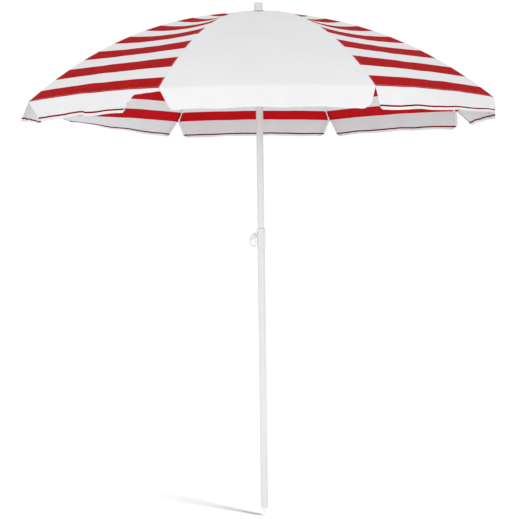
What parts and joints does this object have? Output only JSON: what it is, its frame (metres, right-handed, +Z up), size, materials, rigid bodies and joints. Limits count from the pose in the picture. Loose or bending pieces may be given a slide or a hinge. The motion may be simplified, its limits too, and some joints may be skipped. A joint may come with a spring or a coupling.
{
  "type": "beach umbrella",
  "caption": "Open beach umbrella with a striped fabric canopy and hanging valance, one plain gore, a two-part pole with a thumb-screw collar, and a pointed ground spike.",
  "frame": {"origin": "tip of the ground spike, on the pole's axis", "axes": "+Z up the pole; the plain gore of the canopy faces -Y; the thumb screw points to -X"},
  "size_m": [1.5926, 1.5926, 1.853],
  "materials": {
    "painted_tube": "gloss",
    "white_plastic": "satin",
    "pale_plastic": "satin",
    "bright_steel": "satin",
    "white_fabric": "matte",
    "striped_fabric": "matte"
  },
  "bodies": {
    "lower": {"ground_spike": "white_plastic", "lower_pole": "painted_tube", "height_collar": "white_plastic"},
    "thumb": {"thumb_screw": "pale_plastic"},
    "upper": {"upper_pole": "painted_tube", "crown": "white_plastic", "canopy_washer": "white_plastic", "finial": "white_plastic"},
    "catch": {"runner_catch": "bright_steel"},
    "runner": {"runner": "white_plastic"},
    "rib_1": {"rib_1": "painted_tube", "rib_tip_1": "white_plastic", "rib_bracket_1": "white_plastic"},
    "rib_2": {"rib_2": "painted_tube", "rib_tip_2": "white_plastic", "rib_bracket_2": "white_plastic"},
    "rib_3": {"rib_3": "painted_tube", "rib_tip_3": "white_plastic", "rib_bracket_3": "white_plastic"},
    "rib_4": {"rib_4": "painted_tube", "rib_tip_4": "white_plastic", "rib_bracket_4": "white_plastic"},
    "rib_5": {"rib_5": "painted_tube", "rib_tip_5": "white_plastic", "rib_bracket_5": "white_plastic"},
    "rib_6": {"rib_6": "painted_tube", "rib_tip_6": "white_plastic", "rib_bracket_6": "white_plastic"},
    "rib_7": {"rib_7": "painted_tube", "rib_tip_7": "white_plastic", "rib_bracket_7": "white_plastic"},
    "rib_8": {"rib_8": "painted_tube", "rib_tip_8": "white_plastic", "rib_bracket_8": "white_plastic"},
    "stretcher_1": {"stretcher_1": "painted_tube"},
    "stretcher_2": {"stretcher_2": "painted_tube"},
    "stretcher_3": {"stretcher_3": "painted_tube"},
    "stretcher_4": {"stretcher_4": "painted_tube"},
    "stretcher_5": {"stretcher_5": "painted_tube"},
    "stretcher_6": {"stretcher_6": "painted_tube"},
    "stretcher_7": {"stretcher_7": "painted_tube"},
    "stretcher_8": {"stretcher_8": "painted_tube"},
    "gore_1_left": {"gore_1_left": "white_fabric"},
    "gore_1_right": {"gore_1_right": "white_fabric"},
    "gore_2_left": {"gore_2_left": "striped_fabric"},
    "gore_2_right": {"gore_2_right": "striped_fabric"},
    "gore_3_left": {"gore_3_left": "striped_fabric"},
    "gore_3_right": {"gore_3_right": "striped_fabric"},
    "gore_4_left": {"gore_4_left": "striped_fabric"},
    "gore_4_right": {"gore_4_right": "striped_fabric"},
    "gore_5_left": {"gore_5_left": "striped_fabric"},
    "gore_5_right": {"gore_5_right": "striped_fabric"},
    "gore_6_left": {"gore_6_left": "striped_fabric"},
    "gore_6_right": {"gore_6_right": "striped_fabric"},
    "gore_7_left": {"gore_7_left": "striped_fabric"},
    "gore_7_right": {"gore_7_right": "striped_fabric"},
    "gore_8_left": {"gore_8_left": "striped_fabric"},
    "gore_8_right": {"gore_8_right": "striped_fabric"}
  },
  "joints": [
    {"name": "height_slide", "type": "slide", "parent": "lower", "child": "upper", "axis": [0, 0, 1], "range_m": [-0.13, 0.1]},
    {"name": "thumb_screw_turn", "type": "hinge", "parent": "lower", "child": "thumb", "pos_m": [-0.019, 0, 1.02], "axis": [-1, 0, 0], "range_deg": [0, 450]},
    {"name": "canopy_fold", "type": "slide", "parent": "upper", "child": "runner", "axis": [0, 0, -1], "range_m": [0, 0.4425]},
    {"name": "catch_press", "type": "slide", "parent": "upper", "child": "catch", "axis": [0, -1, 0], "range_m": [0, 0.0036], "stiffness_N_per_m": 400},
    {"name": "rib_1_fold", "type": "hinge", "parent": "upper", "child": "rib_1", "pos_m": [-0.00918, -0.02217, 1.81318], "axis": [0.9239, -0.3827, 0], "range_deg": [0, 65.5]},
    {"name": "rib_2_fold", "type": "hinge", "parent": "upper", "child": "rib_2", "pos_m": [0.00918, -0.02217, 1.81318], "axis": [0.9239, 0.3827, 0], "range_deg": [0, 65.5]},
    {"name": "rib_3_fold", "type": "hinge", "parent": "upper", "child": "rib_3", "pos_m": [0.02217, -0.00918, 1.81318], "axis": [0.3827, 0.9239, 0], "range_deg": [0, 65.5]},
    {"name": "rib_4_fold", "type": "hinge", "parent": "upper", "child": "rib_4", "pos_m": [0.02217, 0.00918, 1.81318], "axis": [-0.3827, 0.9239, 0], "range_deg": [0, 65.5]},
    {"name": "rib_5_fold", "type": "hinge", "parent": "upper", "child": "rib_5", "pos_m": [0.00918, 0.02217, 1.81318], "axis": [-0.9239, 0.3827, 0], "range_deg": [0, 65.5]},
    {"name": "rib_6_fold", "type": "hinge", "parent": "upper", "child": "rib_6", "pos_m": [-0.00918, 0.02217, 1.81318], "axis": [-0.9239, -0.3827, 0], "range_deg": [0, 65.5]},
    {"name": "rib_7_fold", "type": "hinge", "parent": "upper", "child": "rib_7", "pos_m": [-0.02217, 0.00918, 1.81318], "axis": [-0.3827, -0.9239, 0], "range_deg": [0, 65.5]},
    {"name": "rib_8_fold", "type": "hinge", "parent": "upper", "child": "rib_8", "pos_m": [-0.02217, -0.00918, 1.81318], "axis": [0.3827, -0.9239, 0], "range_deg": [0, 65.5]},
    {"name": "stretcher_1_fold", "type": "hinge", "parent": "rib_1", "child": "stretcher_1", "pos_m": [-0.11782, -0.28445, 1.74987], "axis": [0.9239, -0.3827, 0], "range_deg": [-131, 0]},
    {"name": "stretcher_2_fold", "type": "hinge", "parent": "rib_2", "child": "stretcher_2", "pos_m": [0.11782, -0.28445, 1.74987], "axis": [0.9239, 0.3827, 0], "range_deg": [-131, 0]},
    {"name": "stretcher_3_fold", "type": "hinge", "parent": "rib_3", "child": "stretcher_3", "pos_m": [0.28445, -0.11782, 1.74987], "axis": [0.3827, 0.9239, 0], "range_deg": [-131, 0]},
    {"name": "stretcher_4_fold", "type": "hinge", "parent": "rib_4", "child": "stretcher_4", "pos_m": [0.28445, 0.11782, 1.74987], "axis": [-0.3827, 0.9239, 0], "range_deg": [-131, 0]},
    {"name": "stretcher_5_fold", "type": "hinge", "parent": "rib_5", "child": "stretcher_5", "pos_m": [0.11782, 0.28445, 1.74987], "axis": [-0.9239, 0.3827, 0], "range_deg": [-131, 0]},
    {"name": "stretcher_6_fold", "type": "hinge", "parent": "rib_6", "child": "stretcher_6", "pos_m": [-0.11782, 0.28445, 1.74987], "axis": [-0.9239, -0.3827, 0], "range_deg": [-131, 0]},
    {"name": "stretcher_7_fold", "type": "hinge", "parent": "rib_7", "child": "stretcher_7", "pos_m": [-0.28445, 0.11782, 1.74987], "axis": [-0.3827, -0.9239, 0], "range_deg": [-131, 0]},
    {"name": "stretcher_8_fold", "type": "hinge", "parent": "rib_8", "child": "stretcher_8", "pos_m": [-0.28445, -0.11782, 1.74987], "axis": [0.3827, -0.9239, 0], "range_deg": [-131, 0]},
    {"name": "gore_1_left_fold", "type": "hinge", "parent": "rib_1", "child": "gore_1_left", "pos_m": [-0.00918, -0.02217, 1.81318], "axis": [-0.3545, -0.8558, -0.3769], "range_deg": [0, 70], "deforming": ["gore_1_left"]},
    {"name": "gore_1_right_fold", "type": "hinge", "parent": "rib_2", "child": "gore_1_right", "pos_m": [0.00918, -0.02217, 1.81318], "axis": [0.3545, -0.8558, -0.3769], "range_deg": [-70, 0], "deforming": ["gore_1_right"]},
    {"name": "gore_2_left_fold", "type": "hinge", "parent": "rib_2", "child": "gore_2_left", "pos_m": [0.00918, -0.02217, 1.81318], "axis": [0.3545, -0.8558, -0.3769], "range_deg": [0, 70], "deforming": ["gore_2_left"]},
    {"name": "gore_2_right_fold", "type": "hinge", "parent": "rib_3", "child": "gore_2_right", "pos_m": [0.02217, -0.00918, 1.81318], "axis": [0.8558, -0.3545, -0.3769], "range_deg": [-70, 0], "deforming": ["gore_2_right"]},
    {"name": "gore_3_left_fold", "type": "hinge", "parent": "rib_3", "child": "gore_3_left", "pos_m": [0.02217, -0.00918, 1.81318], "axis": [0.8558, -0.3545, -0.3769], "range_deg": [0, 70], "deforming": ["gore_3_left"]},
    {"name": "gore_3_right_fold", "type": "hinge", "parent": "rib_4", "child": "gore_3_right", "pos_m": [0.02217, 0.00918, 1.81318], "axis": [0.8558, 0.3545, -0.3769], "range_deg": [-70, 0], "deforming": ["gore_3_right"]},
    {"name": "gore_4_left_fold", "type": "hinge", "parent": "rib_4", "child": "gore_4_left", "pos_m": [0.02217, 0.00918, 1.81318], "axis": [0.8558, 0.3545, -0.3769], "range_deg": [0, 70], "deforming": ["gore_4_left"]},
    {"name": "gore_4_right_fold", "type": "hinge", "parent": "rib_5", "child": "gore_4_right", "pos_m": [0.00918, 0.02217, 1.81318], "axis": [0.3545, 0.8558, -0.3769], "range_deg": [-70, 0], "deforming": ["gore_4_right"]},
    {"name": "gore_5_left_fold", "type": "hinge", "parent": "rib_5", "child": "gore_5_left", "pos_m": [0.00918, 0.02217, 1.81318], "axis": [0.3545, 0.8558, -0.3769], "range_deg": [0, 70], "deforming": ["gore_5_left"]},
    {"name": "gore_5_right_fold", "type": "hinge", "parent": "rib_6", "child": "gore_5_right", "pos_m": [-0.00918, 0.02217, 1.81318], "axis": [-0.3545, 0.8558, -0.3769], "range_deg": [-70, 0], "deforming": ["gore_5_right"]},
    {"name": "gore_6_left_fold", "type": "hinge", "parent": "rib_6", "child": "gore_6_left", "pos_m": [-0.00918, 0.02217, 1.81318], "axis": [-0.3545, 0.8558, -0.3769], "range_deg": [0, 70], "deforming": ["gore_6_left"]},
    {"name": "gore_6_right_fold", "type": "hinge", "parent": "rib_7", "child": "gore_6_right", "pos_m": [-0.02217, 0.00918, 1.81318], "axis": [-0.8558, 0.3545, -0.3769], "range_deg": [-70, 0], "deforming": ["gore_6_right"]},
    {"name": "gore_7_left_fold", "type": "hinge", "parent": "rib_7", "child": "gore_7_left", "pos_m": [-0.02217, 0.00918, 1.81318], "axis": [-0.8558, 0.3545, -0.3769], "range_deg": [0, 70], "deforming": ["gore_7_left"]},
    {"name": "gore_7_right_fold", "type": "hinge", "parent": "rib_8", "child": "gore_7_right", "pos_m": [-0.02217, -0.00918, 1.81318], "axis": [-0.8558, -0.3545, -0.3769], "range_deg": [-70, 0], "deforming": ["gore_7_right"]},
    {"name": "gore_8_left_fold", "type": "hinge", "parent": "rib_8", "child": "gore_8_left", "pos_m": [-0.02217, -0.00918, 1.81318], "axis": [-0.8558, -0.3545, -0.3769], "range_deg": [0, 70], "deforming": ["gore_8_left"]},
    {"name": "gore_8_right_fold", "type": "hinge", "parent": "rib_1", "child": "gore_8_right", "pos_m": [-0.00918, -0.02217, 1.81318], "axis": [-0.3545, -0.8558, -0.3769], "range_deg": [-70, 0], "deforming": ["gore_8_right"]}
  ],
  "couplings": [
    {"joint": "rib_1_fold", "follows": "canopy_fold", "rad_per_m": 2.5834},
    {"joint": "rib_2_fold", "follows": "canopy_fold", "rad_per_m": 2.5834},
    {"joint": "rib_3_fold", "follows": "canopy_fold", "rad_per_m": 2.5834},
    {"joint": "rib_4_fold", "follows": "canopy_fold", "rad_per_m": 2.5834},
    {"joint": "rib_5_fold", "follows": "canopy_fold", "rad_per_m": 2.5834},
    {"joint": "rib_6_fold", "follows": "canopy_fold", "rad_per_m": 2.5834},
    {"joint": "rib_7_fold", "follows": "canopy_fold", "rad_per_m": 2.5834},
    {"joint": "rib_8_fold", "follows": "canopy_fold", "rad_per_m": 2.5834},
    {"joint": "stretcher_1_fold", "follows": "canopy_fold", "rad_per_m": -5.1668},
    {"joint": "stretcher_2_fold", "follows": "canopy_fold", "rad_per_m": -5.1668},
    {"joint": "stretcher_3_fold", "follows": "canopy_fold", "rad_per_m": -5.1668},
    {"joint": "stretcher_4_fold", "follows": "canopy_fold", "rad_per_m": -5.1668},
    {"joint": "stretcher_5_fold", "follows": "canopy_fold", "rad_per_m": -5.1668},
    {"joint": "stretcher_6_fold", "follows": "canopy_fold", "rad_per_m": -5.1668},
    {"joint": "stretcher_7_fold", "follows": "canopy_fold", "rad_per_m": -5.1668},
    {"joint": "stretcher_8_fold", "follows": "canopy_fold", "rad_per_m": -5.1668},
    {"joint": "gore_1_left_fold", "follows": "canopy_fold", "rad_per_m": 2.7609},
    {"joint": "gore_1_right_fold", "follows": "canopy_fold", "rad_per_m": -2.7609},
    {"joint": "gore_2_left_fold", "follows": "canopy_fold", "rad_per_m": 2.7609},
    {"joint": "gore_2_right_fold", "follows": "canopy_fold", "rad_per_m": -2.7609},
    {"joint": "gore_3_left_fold", "follows": "canopy_fold", "rad_per_m": 2.7609},
    {"joint": "gore_3_right_fold", "follows": "canopy_fold", "rad_per_m": -2.7609},
    {"joint": "gore_4_left_fold", "follows": "canopy_fold", "rad_per_m": 2.7609},
    {"joint": "gore_4_right_fold", "follows": "canopy_fold", "rad_per_m": -2.7609},
    {"joint": "gore_5_left_fold", "follows": "canopy_fold", "rad_per_m": 2.7609},
    {"joint": "gore_5_right_fold", "follows": "canopy_fold", "rad_per_m": -2.7609},
    {"joint": "gore_6_left_fold", "follows": "canopy_fold", "rad_per_m": 2.7609},
    {"joint": "gore_6_right_fold", "follows": "canopy_fold", "rad_per_m": -2.7609},
    {"joint": "gore_7_left_fold", "follows": "canopy_fold", "rad_per_m": 2.7609},
    {"joint": "gore_7_right_fold", "follows": "canopy_fold", "rad_per_m": -2.7609},
    {"joint": "gore_8_left_fold", "follows": "canopy_fold", "rad_per_m": 2.7609},
    {"joint": "gore_8_right_fold", "follows": "canopy_fold", "rad_per_m": -2.7609}
  ]
}
